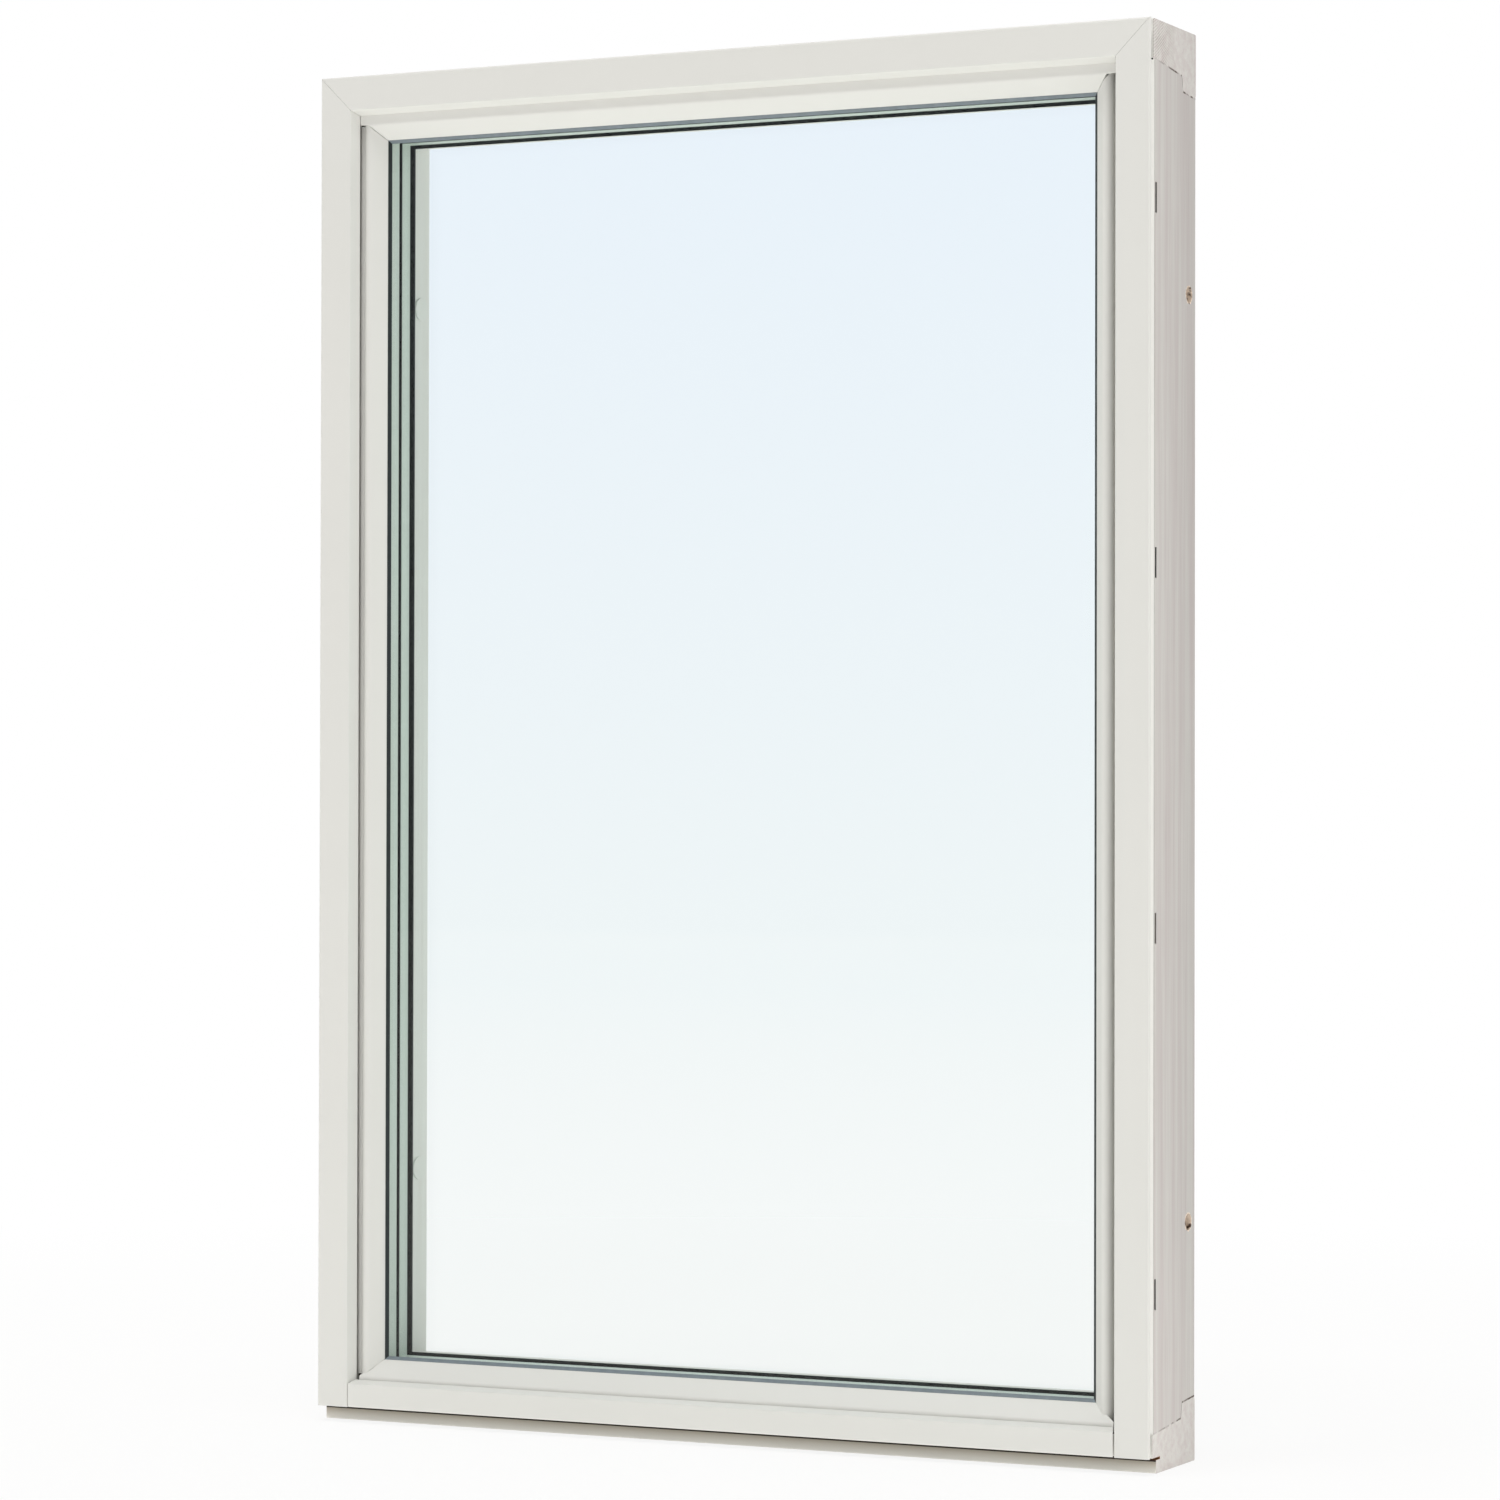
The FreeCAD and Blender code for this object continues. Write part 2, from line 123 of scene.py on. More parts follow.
def painted_pine(name, lengthwise):
    """Planed pine: a thin streaky coat on the outer sides, where the grain shows through, and a whiter
    finish elsewhere. The coped joints show on the sides as broken hairlines, the drilled holes are raw,
    and the sawn ends show growth rings. Painted shade darkens the saw slots, the groove over the sill's
    toe and the top of the toe, the rebate under the beads, the gap where a jamb meets the head and the
    sides toward the room; a painted highlight lightens the front chamfer."""
    material, tree = start_material(name)
    place = add(tree, "VectorMath", {0: add(tree, "TexCoord").outputs["Object"], "Scale": 1 / MM},
                operation="SCALE")
    x, y, z = add(tree, "SeparateXYZ", {0: place}).outputs
    out = add(tree, "Math", {0: x}, operation="ABSOLUTE")
    from_side = add(tree, "Math", {0: HALF_WIDTH, 1: out}, operation="SUBTRACT")
    low = add(tree, "Math", {0: HEIGHT, 1: z}, operation="SUBTRACT")
    deep = add(tree, "Math", {0: y, 1: -TIMBER_FRONT})
    side_skin = 0.7
    side = add(tree, "Math", {0: out, 1: HALF_WIDTH - side_skin}, operation="GREATER_THAN")

    streak_wide, streak_long = 7.0, 320.0
    streaks = add(tree, "Mapping", {"Vector": place, "Scale": [
        1 / streak_long if axis == lengthwise else 1 / streak_wide for axis in "XYZ"]})
    streak = add(tree, "TexNoise", {
        "Vector": streaks, "Scale": 1.0, "Detail": 3.0, "Roughness": 0.6})
    # Fibres are about 0.3 mm apart, drawn 1.5 mm apart so that they show.
    fibre_wide, fibre_long = 1.5, 60.0
    fibres = add(tree, "Mapping", {"Vector": place, "Scale": [
        1 / fibre_long if axis == lengthwise else 1 / fibre_wide for axis in "XYZ"]})
    fibre = add(tree, "TexNoise", {"Vector": fibres, "Scale": 1.0, "Detail": 2.0})
    shade = add(tree, "MapRange", {"Value": streak, "From Min": 0.38, "From Max": 0.66})
    thin = add(tree, "Mix", {0: shade, 6: linear("#CCC9C4"), 7: linear("#C3BBB8")}, data_type="RGBA")
    lines = add(tree, "MapRange", {
        "Value": fibre, "From Min": 0.3, "From Max": 0.7, "To Min": 0.955, "To Max": 1.025})
    # Painted shade: the sides darken from the front back toward the room.
    painted_depth_falloff = add(tree, "MapRange", {
        "Value": deep, "From Max": HALF_DEPTH - TIMBER_FRONT, "To Min": 1.22, "To Max": 1.02})
    fibres_and_painted_falloff = add(tree, "Math", {0: lines, 1: painted_depth_falloff}, operation="MULTIPLY")
    if lengthwise == "Z":
        # The jambs' sides are darker than the rails', and lighter towards their feet.
        darker_above_feet = add(tree, "MapRange", {
            "Value": z, "From Min": 40.0, "From Max": 240.0, "To Min": 0.89, "To Max": 0.835})
        fibres_and_painted_falloff = add(tree, "Math", {0: fibres_and_painted_falloff, 1: darker_above_feet}, operation="MULTIPLY")
    thin = add(tree, "Mix", {0: 1.0, 6: thin, 7: fibres_and_painted_falloff}, data_type="RGBA", blend_type="MULTIPLY")
    if lengthwise == "X":
        # Rings of slow grown pine are about 1.8 mm apart, drawn 2.6 mm apart so that they show. They
        # lean back, steeper with depth, and fade where the coat is thicker.
        ring_gap, ring_lean, lean_growth, ring_sway = 2.6, 0.45, 0.006, 4.0
        lean = add(tree, "Math", {0: deep, 1: lean_growth, 2: ring_lean}, operation="MULTIPLY_ADD")
        arc = add(tree, "Math", {0: deep, 1: lean}, operation="MULTIPLY")
        level = add(tree, "Math", {0: z, 1: arc}, operation="SUBTRACT")
        sway = add(tree, "TexNoise", {"Vector": place, "Scale": 1 / 16, "Detail": 2.0})
        bent = add(tree, "Math", {0: sway, 1: ring_sway, 2: level}, operation="MULTIPLY_ADD")
        phase = add(tree, "Math", {0: bent, 1: 2 * math.pi / ring_gap}, operation="MULTIPLY")
        wave = add(tree, "Math", {0: phase}, operation="SINE")
        patch = add(tree, "TexNoise", {"Vector": place, "Scale": 1 / 13, "Detail": 2.0})
        uncoated = add(tree, "MapRange", {
            "Value": patch, "From Min": 0.36, "From Max": 0.6, "To Min": 0.25, "To Max": 1.0})
        fade = add(tree, "MapRange", {
            "Value": deep, "From Min": 34.0, "From Max": 60.0, "To Min": 0.55, "To Max": 0.08})
        upper = add(tree, "MapRange", {
            "Value": z, "From Min": 100.0, "From Max": 1000.0, "To Min": 0.2, "To Max": 1.0})
        faded = add(tree, "Math", {0: uncoated, 1: fade}, operation="MULTIPLY")
        weak = add(tree, "Math", {0: faded, 1: upper}, operation="MULTIPLY")
        ring = add(tree, "MapRange", {
            "Value": wave, "From Min": -1.0, "From Max": 1.0, "To Max": weak})
        thin = add(tree, "Mix", {0: ring, 6: thin, 7: linear("#8F867C")}, data_type="RGBA")
    white = add(tree, "Mix", {0: shade, 6: linear("#E4E3DE"), 7: linear("#DFDDD7")}, data_type="RGBA")
    # The chamfer along the front edge is painted lighter: a painted highlight.
    chamfer_end = -38.0
    painted_chamfer_highlight = add(tree, "Math", {0: y, 1: chamfer_end}, operation="LESS_THAN")
    white = add(tree, "Mix", {0: painted_chamfer_highlight, 6: white, 7: linear("#F7F6F1")}, data_type="RGBA")
    tone = add(tree, "Mix", {0: side, 6: white, 7: thin}, data_type="RGBA")

    # In its corners, under the beads, the rebate is painted dark: painted shade seen through the gaps
    # between the beads.
    rebate_edge, bead_seat, corner_end = 31.2, -28.0, 46.0
    edge = add(tree, "Math", {0: z, 1: low}, operation="MINIMUM")
    inset = add(tree, "Math", {0: from_side, 1: edge}, operation="MINIMUM")
    farther = add(tree, "Math", {0: from_side, 1: edge}, operation="MAXIMUM")
    rebate = add(tree, "Math", {0: inset, 1: rebate_edge}, operation="GREATER_THAN")
    ahead = add(tree, "Math", {0: y, 1: bead_seat}, operation="LESS_THAN")
    corner = add(tree, "Math", {0: farther, 1: corner_end}, operation="LESS_THAN")
    covered = add(tree, "Math", {0: rebate, 1: ahead}, operation="MULTIPLY")
    painted_rebate_shade = add(tree, "Math", {0: covered, 1: corner}, operation="MULTIPLY")
    tone = add(tree, "Mix", {0: painted_rebate_shade, 6: tone, 7: linear("#2B241C")}, data_type="RGBA")

    # Coped joint seen on the side: up the rebate slope, over the stop and back along its slope. It opens
    # toward the room, and its line is wider where it climbs the stop.
    riser_half, stop_rise, room_rise, riser_reach = 2.0, 12.5, 2.5, 1.0
    slope = add(tree, "MapRange", {
        "Value": y, "From Min": TIMBER_FRONT, "From Max": STOP_FRONT,
        "To Min": REBATE_INSET, "To Max": REBATE_INSET + REBATE_FALL})
    riser = add(tree, "MapRange", {
        "Value": y, "From Min": STOP_FRONT - riser_half, "From Max": STOP_FRONT + riser_half,
        "To Max": stop_rise}, interpolation_type="SMOOTHSTEP")
    top = add(tree, "MapRange", {
        "Value": y, "From Min": STOP_FRONT, "From Max": HALF_DEPTH, "To Max": room_rise})
    climb = add(tree, "Math", {0: slope, 1: riser})
    line = add(tree, "Math", {0: climb, 1: top})
    above = add(tree, "Math", {0: edge, 1: line}, operation="SUBTRACT")
    off = add(tree, "Math", {0: above}, operation="ABSOLUTE")
    past_stop = add(tree, "Math", {0: y, 1: STOP_FRONT}, operation="SUBTRACT")
    steep = add(tree, "Math", {0: past_stop, 1: riser_half}, operation="DIVIDE")
    apart = add(tree, "Math", {0: steep}, operation="ABSOLUTE")
    bell = add(tree, "Math", {0: apart, 1: riser_reach}, operation="SMOOTH_MIN")
    width = add(tree, "MapRange", {"Value": bell, "To Min": 1.7, "To Max": 0.7})
    near = add(tree, "Math", {0: off, 1: width}, operation="LESS_THAN")
    gaps = add(tree, "TexNoise", {"Vector": place, "Scale": 1 / 9, "Detail": 2.0})
    broken = add(tree, "MapRange", {"Value": gaps, "From Min": 0.4, "From Max": 0.54})
    opened = add(tree, "MapRange", {"Value": y, "From Min": -35.0, "From Max": 5.0, "To Min": 0.15})
    cracked = add(tree, "Math", {0: near, 1: broken}, operation="MULTIPLY")
    torn = add(tree, "Math", {0: cracked, 1: opened}, operation="MULTIPLY")
    crack = add(tree, "Math", {0: torn, 1: side}, operation="MULTIPLY")
    tone = add(tree, "Mix", {0: crack, 6: tone, 7: linear("#4A382C")}, data_type="RGBA")

    if lengthwise == "Z":
        # Saw slots for the clips are painted dark inside: painted shade. The third from the top is
        # choked with sawdust.
        slot_skin, slot_bottom, slot_middle, slot_half = 0.6, 362.0, -38.5, 2.3
        choked_middle, choked_half = 441.7, 16.0
        inside = add(tree, "Math", {0: out, 1: HALF_WIDTH - slot_skin}, operation="LESS_THAN")
        buried = add(tree, "Math", {0: out, 1: slot_bottom}, operation="GREATER_THAN")
        slot = add(tree, "Math", {0: y, 1: slot_middle, 2: slot_half}, operation="COMPARE")
        sunk = add(tree, "Math", {0: inside, 1: buried}, operation="MULTIPLY")
        dark = add(tree, "Math", {0: sunk, 1: slot}, operation="MULTIPLY")
        choked = add(tree, "Math", {0: z, 1: choked_middle, 2: choked_half}, operation="COMPARE")
        slot_shade_and_sawdust = add(tree, "Mix", {0: choked, 6: linear("#100E0B"), 7: linear("#7C766C")},
                   data_type="RGBA")
        tone = add(tree, "Mix", {0: dark, 6: tone, 7: slot_shade_and_sawdust}, data_type="RGBA")
        # Painted shadow in the small gap at the front, where the jamb meets the head.
        notch_end, notch_middle, notch_half = -42.0, 32.6, 0.9
        front = add(tree, "Math", {0: y, 1: notch_end}, operation="LESS_THAN")
        under = add(tree, "Math", {0: low, 1: notch_middle, 2: notch_half}, operation="COMPARE")
        notch = add(tree, "Math", {0: front, 1: under}, operation="MULTIPLY")
        tone = add(tree, "Mix", {0: notch, 6: tone, 7: linear("#1C1712")}, data_type="RGBA")
        # Fixing holes with torn mouths. The left pair sits higher than the right.
        hole_shift, hole_half_span, hole_back = 9.5, 382.5, 37.0
        hand = add(tree, "Math", {0: x}, operation="SIGN")
        turn = add(tree, "Math", {0: hand, 1: hole_shift}, operation="MULTIPLY")
        moved = add(tree, "Math", {0: z, 1: turn})
        height = add(tree, "Math", {0: moved, 1: HEIGHT / 2}, operation="SUBTRACT")
        from_middle = add(tree, "Math", {0: height}, operation="ABSOLUTE")
        rise = add(tree, "Math", {0: from_middle, 1: hole_half_span}, operation="SUBTRACT")
        back = add(tree, "Math", {0: y, 1: hole_back}, operation="SUBTRACT")
        reach = add(tree, "VectorMath", {0: add(tree, "CombineXYZ", {0: back, 1: rise})},
                    operation="LENGTH")
        splinter = add(tree, "TexNoise", {"Vector": place, "Scale": 1 / 3, "Detail": 3.0})
        mouth = add(tree, "MapRange", {
            "Value": splinter, "From Min": 0.3, "From Max": 0.75, "To Min": 7.2, "To Max": 8.4})
        hole = add(tree, "Math", {0: reach.outputs["Value"], 1: mouth}, operation="LESS_THAN")
        wood = add(tree, "Math", {0: hole, 1: buried}, operation="MULTIPLY")
        torn_wood = add(tree, "TexNoise", {"Vector": place, "Scale": 1 / 5, "Detail": 2.0})
        pale = add(tree, "MapRange", {"Value": torn_wood, "From Min": 0.36, "From Max": 0.52})
        pine = add(tree, "Mix", {0: pale, 6: linear("#554234"), 7: linear("#F6E4D2")},
                   data_type="RGBA")
        tone = add(tree, "Mix", {0: wood, 6: tone, 7: pine}, data_type="RGBA")
    else:
        # Saw groove over the toe: painted shade inside, raw wood where it runs out at the sides.
        groove_middle, groove_half, groove_end = 12.0, 1.15, -27.2
        groove = add(tree, "Math", {0: z, 1: groove_middle, 2: groove_half}, operation="COMPARE")
        sawn_in = add(tree, "Math", {0: y, 1: groove_end}, operation="LESS_THAN")
        kerf = add(tree, "Math", {0: groove, 1: sawn_in}, operation="MULTIPLY")
        runout = add(tree, "MapRange", {"Value": out, "From Min": 378.0, "From Max": HALF_WIDTH})
        groove_shade_and_raw_wood = add(tree, "Mix", {0: runout, 6: linear("#2E2014"), 7: linear("#A87C58")},
                  data_type="RGBA")
        tone = add(tree, "Mix", {0: kerf, 6: tone, 7: groove_shade_and_raw_wood}, data_type="RGBA")
        # Painted shadow under the cladding: the toe darkens upward to a dark rim.
        toe_top, toe_face = 11.1, -36.3
        ending = add(tree, "Math", {0: z, 1: toe_top}, operation="LESS_THAN")
        facing = add(tree, "Math", {0: y, 1: toe_face}, operation="LESS_THAN")
        toe = add(tree, "Math", {0: facing, 1: ending}, operation="MULTIPLY")
        upward = add(tree, "MapRange", {"Value": z, "From Min": 1.0, "From Max": 9.0})
        painted_toe_shadow = add(tree, "Mix", {0: upward, 6: linear("#F8F6EE"), 7: linear("#B5AD9E")},
                   data_type="RGBA")
        rim = add(tree, "MapRange", {"Value": z, "From Min": 9.3, "From Max": 9.8})
        painted_toe_shadow = add(tree, "Mix", {0: rim, 6: painted_toe_shadow, 7: linear("#2A1D12")}, data_type="RGBA")
        tone = add(tree, "Mix", {0: toe, 6: tone, 7: painted_toe_shadow}, data_type="RGBA")

    bump = add(tree, "Bump", {"Height": fibre, "Strength": 0.25, "Distance": 0.15 * MM})
    paint = add(tree, "BsdfPrincipled", {
        "Base Color": tone, "Roughness": 0.55, "IOR": 1.48, "Normal": bump})
    add(tree, "OutputMaterial", {"Surface": paint})
    return material


def extruded_rubber(name, dark, light, roughness):
    """Extruded weather strip rubber: matt with a bloom that pales it here and there."""
    material, tree = start_material(name)
    place = add(tree, "TexCoord").outputs["Object"]
    bloom = add(tree, "TexNoise", {"Vector": place, "Scale": 1 / (6 * MM), "Detail": 3.0})
    tone = add(tree, "Mix", {0: bloom, 6: linear(dark), 7: linear(light)}, data_type="RGBA")
    bump = add(tree, "Bump", {"Height": bloom, "Strength": 0.1, "Distance": 0.1 * MM})
    rubber = add(tree, "BsdfPrincipled", {
        "Base Color": tone, "Roughness": roughness, "IOR": 1.5, "Normal": bump})
    add(tree, "OutputMaterial", {"Surface": rubber})
    return material


def drawn_spacer():
    """Roll-formed spacer bar: pale grey-green, half matt and faintly mottled."""
    material, tree = start_material("roll_formed_spacer")
    place = add(tree, "TexCoord").outputs["Object"]
    speck = add(tree, "TexNoise", {"Vector": place, "Scale": 1 / (3 * MM), "Detail": 2.0})
    tone = add(tree, "Mix", {0: speck, 6: linear("#C6CFC6"), 7: linear("#D2DAD2")}, data_type="RGBA")
    bar = add(tree, "BsdfPrincipled", {"Base Color": tone, "Roughness": 0.4, "IOR": 1.45})
    add(tree, "OutputMaterial", {"Surface": bar})
    return material


def float_glass():
    """Float glass with a coat against reflections, which lowers its IOR to the eye: clear, with a trace
    of green-blue. Light from lamps passes straight through it to what is between the panes."""
    material, tree = start_material("coated_float_glass")
    path = add(tree, "LightPath").outputs
    passing = add(tree, "Math", {0: path["Is Shadow Ray"], 1: path["Is Diffuse Ray"]},
                  operation="MAXIMUM")
    clear = add(tree, "BsdfPrincipled", {
        "Base Color": linear("#FDFEFE"), "Roughness": 0.0, "IOR": 1.26, "Transmission Weight": 1.0})
    through = add(tree, "BsdfTransparent", {"Color": linear("#F8FBFA")})
    pane = add(tree, "MixShader", {0: passing, 1: clear, 2: through})
    add(tree, "OutputMaterial", {"Surface": pane})
    return material


def moulded_plastic(name, dark, light, roughness):
    """Injection-moulded plastic: even, slightly glossy, with the fine spark texture of the mould."""
    material, tree = start_material(name)
    place = add(tree, "TexCoord").outputs["Object"]
    spark = add(tree, "TexNoise", {"Vector": place, "Scale": 1 / (0.8 * MM), "Detail": 2.0})
    tone = add(tree, "Mix", {0: spark, 6: linear(dark), 7: linear(light)}, data_type="RGBA")
    bump = add(tree, "Bump", {"Height": spark, "Strength": 0.08, "Distance": 0.05 * MM})
    plastic = add(tree, "BsdfPrincipled", {
        "Base Color": tone, "Roughness": roughness, "IOR": 1.46, "Normal": bump})
    add(tree, "OutputMaterial", {"Surface": plastic})
    return material


def glazing_bead(side, coat):
    """Glazing bead bent from one sheet: foot on the rebate, channel floor, rounded nose and a face at 45
    degrees down to the rubber. The head and sill beads are shallow and run through. The left bead is
    deeper and stands on them with a step in the channel; the right one is deeper still and runs on
    behind them. Their faces meet in a mitre."""
    rail = side in ("head", "sill")
    nose, floor = NOSE_RADIUS[side], CHANNEL_FLOOR[side]
    drop = DROP if side == "sill" else 0.0
    notch = NOTCH if side == "sill" else STEP
    fall = REBATE_FALL / (STOP_FRONT - TIMBER_FRONT)
    foot = [REBATE_INSET + (depth - HALF_DEPTH - TIMBER_FRONT) * fall + drop
            for depth in (FOOT_END, floor)]
    # Each point of the seen face: inset, depth, and the way out of the sheet there.
    face = [(foot[0], FOOT_END, -1.0, 0.0), (foot[1], floor, -1.0, -1.0)]
    if rail:
        centre = (floor + FACE_SHIFT - nose * math.tan(math.radians(22.5)), floor + nose)
        first = 0.0
        if side == "sill":
            # Two points a hair apart give the notch a square end.
            hair = 0.01
            face += [(notch, floor, 0.0, -1.0), (notch + hair, floor, 0.0, -1.0)]
    else:
        stand, lean = CHANNEL_WALL[side], 0.05
        centre = (stand + nose, stand + nose - FACE_SHIFT + nose * math.sqrt(2))
        first = -math.degrees(math.acos(max((centre[1] - floor) / nose, 0.0)))
        wall_foot = centre[0] + nose * math.sin(math.radians(first)) - lean
        face.append((wall_foot, floor, -1.0, -1.0))
    bends, face_angle = 16, 45.0
    for i in range(bends + 1):
        turn = math.radians(first + (face_angle - first) * i / bends)
        out = (math.sin(turn), -math.cos(turn))
        face.append((centre[0] + nose * out[0], centre[1] + nose * out[1], *out))
    # The tip is blunt, and behind it the sheet sits back from the rubber.
    blunt = 0.6
    face.append((TIP, TIP - FACE_SHIFT, 1.375, -0.0375))
    face.append((TIP, TIP - FACE_SHIFT + blunt, 1.0375, 0.0))

    def corner(inset, depth, end):
        """Point on one end of the bead, in metres."""
        start = inset if rail else inset + BUTT
        if inset <= STEP:
            if rail:
                start = NOTCH_END if inset > notch and end < 0 else RAIL_END
            else:
                start = TUCKED_END if side == "right" else STEP + BUTT
        if rail:
            spot = (end * (HALF_WIDTH - start), depth - HALF_DEPTH,
                    inset - DROP if side == "sill" else HEIGHT - inset)
        else:
            spot = ((inset - HALF_WIDTH) * (1 if side == "left" else -1), depth - HALF_DEPTH,
                    HEIGHT - start if end > 0 else start - DROP)
        return Vector(spot) * MM

    form = bmesh.new()
    rows = []
    for inset, depth, aside, outward in face:
        # The hidden face follows the same mitre and step, at its own inset.
        hidden = (inset - SHEET * aside, depth - SHEET * outward)
        seen_ends = [corner(inset, depth, end) for end in (-1, 1)]
        hidden_ends = [corner(*hidden, end) for end in (-1, 1)]
        rows.append([form.verts.new(point) for point in seen_ends + hidden_ends])
    for one, two in zip(rows, rows[1:]):
        for a, b in ((0, 1), (3, 2), (2, 0), (1, 3)):
            form.faces.new((one[a], two[a], two[b], one[b]))
    for row in (rows[0], rows[-1]):
        form.faces.new((row[0], row[1], row[3], row[2]))
    bmesh.ops.recalc_face_normals(form, faces=form.faces)
    mesh = bpy.data.meshes.new("glazing_bead_" + side)
    form.to_mesh(mesh)
    form.free()
    mesh.shade_smooth()
    mesh.set_sharp_from_angle(angle=math.radians(25))
    mesh.materials.append(coat)
    bead = bpy.data.objects.new(mesh.name, mesh)
    bpy.context.scene.collection.objects.link(bead)
    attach(bead, "root")
    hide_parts("bead_" + side)


coat = powder_coated_aluminium()
dress(coat, "cladding")
for side in SIDES:
    glazing_bead(side, coat)
dress(painted_pine("painted_pine_jambs", "Z"), "frame", ("left", "right"))
dress(painted_pine("painted_pine_rails", "X"), "frame", ("head", "sill"))
# Lit and shaded copies of one rubber: the head and sill gaskets are painted lighter, as lit from below
# and above.
painted_lit_rubber = extruded_rubber("weather_rubber_painted_lit", "#6C767B", "#848F96", 0.4)
dress(painted_lit_rubber, "outer_gasket", ("head", "sill"))
# The side gaskets are painted darker: painted shade.
painted_shaded_rubber = extruded_rubber("weather_rubber_painted_shaded", "#1E2526", "#2C3436", 0.45)
dress(painted_shaded_rubber, "outer_gasket", ("left", "right"))
black_rubber = extruded_rubber("black_rubber", "#0E1010", "#1C1F1E", 0.6)
dress(black_rubber, "inner_gasket")
dress(black_rubber, "edge_seal")
dress(drawn_spacer(), "spacer")
glass = float_glass()
for pane in ("outer", "middle", "inner"):
    dress(glass, "glass_" + pane, ("",))
nylon = moulded_plastic("moulded_nylon", "#C9C7BF", "#D3D1CA", 0.45)
dress(nylon, "clips")
dress(nylon, "setting_blocks", ("",))
caps = moulded_plastic("moulded_cap", "#DCDCD6", "#E4E4DF", 0.35)
dress(caps, "fixing_caps", ("left", "right"))


def studio_floor():
    """Pale floor sheet, lit from below: white to the eye, greyer near through glass, with the soft
    shadow of the window close to it."""
    material, tree = start_material("pale_floor_sheet")
    material.cycles.emission_sampling = "NONE"
    path = add(tree, "LightPath").outputs
    matt = add(tree, "BsdfDiffuse", {"Color": linear("#F4F3F0")})
    spot = add(tree, "TexCoord").outputs["Object"]
    behind = add(tree, "SeparateXYZ", {0: spot}).outputs[1]
    far = add(tree, "MapRange", {"Value": behind, "From Min": 0.05, "From Max": 9.0})
    sweep = add(tree, "Mix", {0: far, 6: linear("#FCFCFB"), 7: linear("#F6FAFB")}, data_type="RGBA")
    colour = add(tree, "Mix", {0: path["Is Camera Ray"], 6: sweep, 7: linear("#FFFFFF")},
                 data_type="RGBA")
    white = add(tree, "Emission", {"Color": colour, "Strength": 1.0})
    seen = add(tree, "Math", {0: path["Is Camera Ray"], 1: path["Is Transmission Ray"]},
               operation="MAXIMUM")
    apart = add(tree, "VectorMath", {0: spot}, operation="LENGTH").outputs["Value"]
    plain = add(tree, "MapRange", {
        "Value": apart, "From Min": 0.6, "From Max": 2.2, "To Min": 0.86, "To Max": 1.0})
    share = add(tree, "Math", {0: seen, 1: plain}, operation="MULTIPLY")
    sheet = add(tree, "MixShader", {0: share, 1: matt, 2: white})
    floor_glow = 0.5
    onto_window = add(tree, "Math", {0: path["Is Diffuse Ray"], 1: floor_glow}, operation="MULTIPLY")
    glow = add(tree, "Emission", {"Strength": onto_window})
    lit = add(tree, "AddShader", {0: sheet, 1: glow})
    add(tree, "OutputMaterial", {"Surface": lit})
    # A hair below the window, so that the two never share a plane.
    reach, level = 14.0, -0.0004
    corners = [(-reach, -reach), (reach, -reach), (reach, reach), (-reach, reach)]
    mesh = bpy.data.meshes.new("floor")
    mesh.from_pydata([(x, y, level) for x, y in corners], [], [(0, 1, 2, 3)])
    floor = bpy.data.objects.new("floor", mesh)
    mesh.materials.append(material)
    bpy.context.scene.collection.objects.link(floor)


def soft_box(name, place, target, size, energy):
    lamp = bpy.data.lights.new(name, "AREA")
    lamp.shape = "RECTANGLE"
    lamp.size, lamp.size_y = size
    lamp.energy = energy
    box = bpy.data.objects.new(name, lamp)
    aim = (Vector(target) - Vector(place)).to_track_quat("-Z", "Y")
    box.matrix_world = Matrix.Translation(place) @ aim.to_matrix().to_4x4()
    box.visible_camera = False
    bpy.context.scene.collection.objects.link(box)


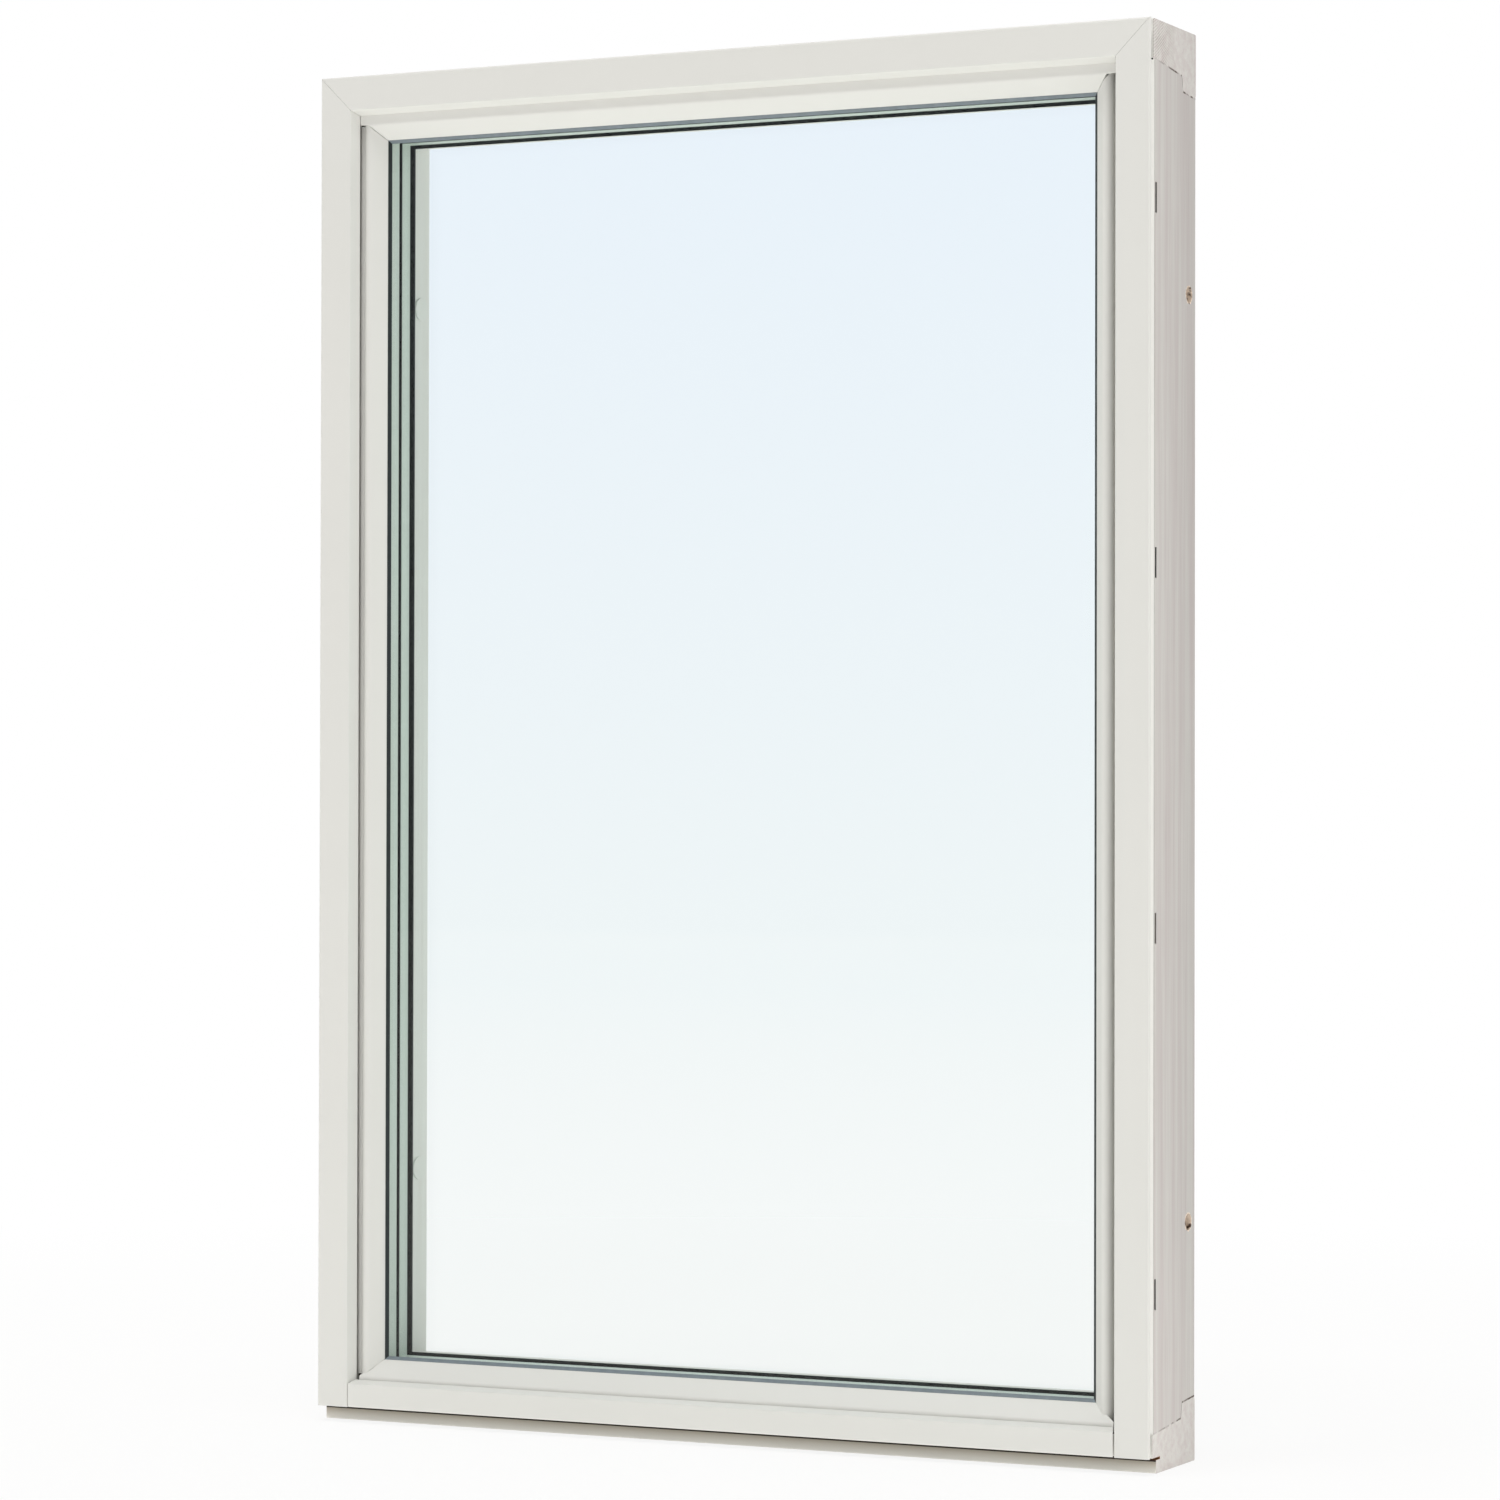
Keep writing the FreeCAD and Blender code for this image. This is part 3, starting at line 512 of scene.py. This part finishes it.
def studio_light():
    """White tent: even light from all round, one soft box high in front and one far out on each side.
    What the glass mirrors in front is dark, so that it stays clear."""
    world = bpy.data.worlds.new("tent")
    world.use_nodes = True
    tree = world.node_tree
    tree.nodes.clear()
    path = add(tree, "LightPath").outputs
    toward = add(tree, "SeparateXYZ", {0: add(tree, "TexCoord").outputs["Generated"]}).outputs
    behind = add(tree, "MapRange", {"Value": toward[1], "From Min": -0.25, "From Max": 0.25},
                 interpolation_type="SMOOTHSTEP")
    front, back, mirrored_front = ((level, level, level, 1.0) for level in (0.34, 0.75, 0.06))
    tent = add(tree, "Mix", {0: behind, 6: front, 7: back}, data_type="RGBA")
    mirrored = add(tree, "Mix", {0: behind, 6: mirrored_front, 7: back}, data_type="RGBA")
    lit = add(tree, "Mix", {0: path["Is Glossy Ray"], 6: tent, 7: mirrored}, data_type="RGBA")
    rise = add(tree, "MapRange", {"Value": toward[2], "From Min": -0.03, "From Max": 0.14})
    sweep = add(tree, "Mix", {0: rise, 6: linear("#F6FAFB"), 7: linear("#F0F7FF")}, data_type="RGBA")
    glassy = add(tree, "Mix", {0: path["Is Transmission Ray"], 6: lit, 7: sweep}, data_type="RGBA")
    colour = add(tree, "Mix", {0: path["Is Camera Ray"], 6: glassy, 7: linear("#FFFFFF")},
                 data_type="RGBA")
    sky = add(tree, "Background", {"Color": colour, "Strength": 1.0})
    add(tree, "OutputWorld", {"Surface": sky})
    bpy.context.scene.world = world
    soft_box("left_soft_box", (-4.4, -1.2, 1.2), (0, 0, 0.7), (1.7, 1.9), 10.0)
    soft_box("right_soft_box", (4.4, -1.2, 1.2), (0, 0, 0.7), (1.7, 1.9), 20.0)
    soft_box("top_soft_box", (0, -1.6, 6.5), (0, 0, 0.5), (3.0, 3.0), 212.0)


def photo_camera():
    """Camera about four metres off, 26 degrees round to the right and nearly level."""
    yaw, pitch, roll = (math.radians(a) for a in (25.862, 0.647, 0.112))
    focal_pixels, image_pixels = 4756.9, 1500
    ahead = Vector((-math.sin(yaw) * math.cos(pitch), math.cos(yaw) * math.cos(pitch), math.sin(pitch)))
    right = Vector((math.cos(yaw), math.sin(yaw), 0))
    up = right.cross(ahead)
    turned = math.cos(roll) * right + math.sin(roll) * up
    upright = math.cos(roll) * up - math.sin(roll) * right
    data = bpy.data.cameras.new("camera")
    data.sensor_width = 36.0
    data.lens = focal_pixels / image_pixels * data.sensor_width
    data.clip_end = 100.0
    camera = bpy.data.objects.new("camera", data)
    camera.matrix_world = Matrix((turned, upright, -ahead)).transposed().to_4x4()
    camera.location = (1.7763, -3.6524, 0.5419)
    bpy.context.scene.collection.objects.link(camera)
    bpy.context.scene.camera = camera


studio_floor()
studio_light()
photo_camera()
bpy.context.scene.view_settings.view_transform = "Standard"
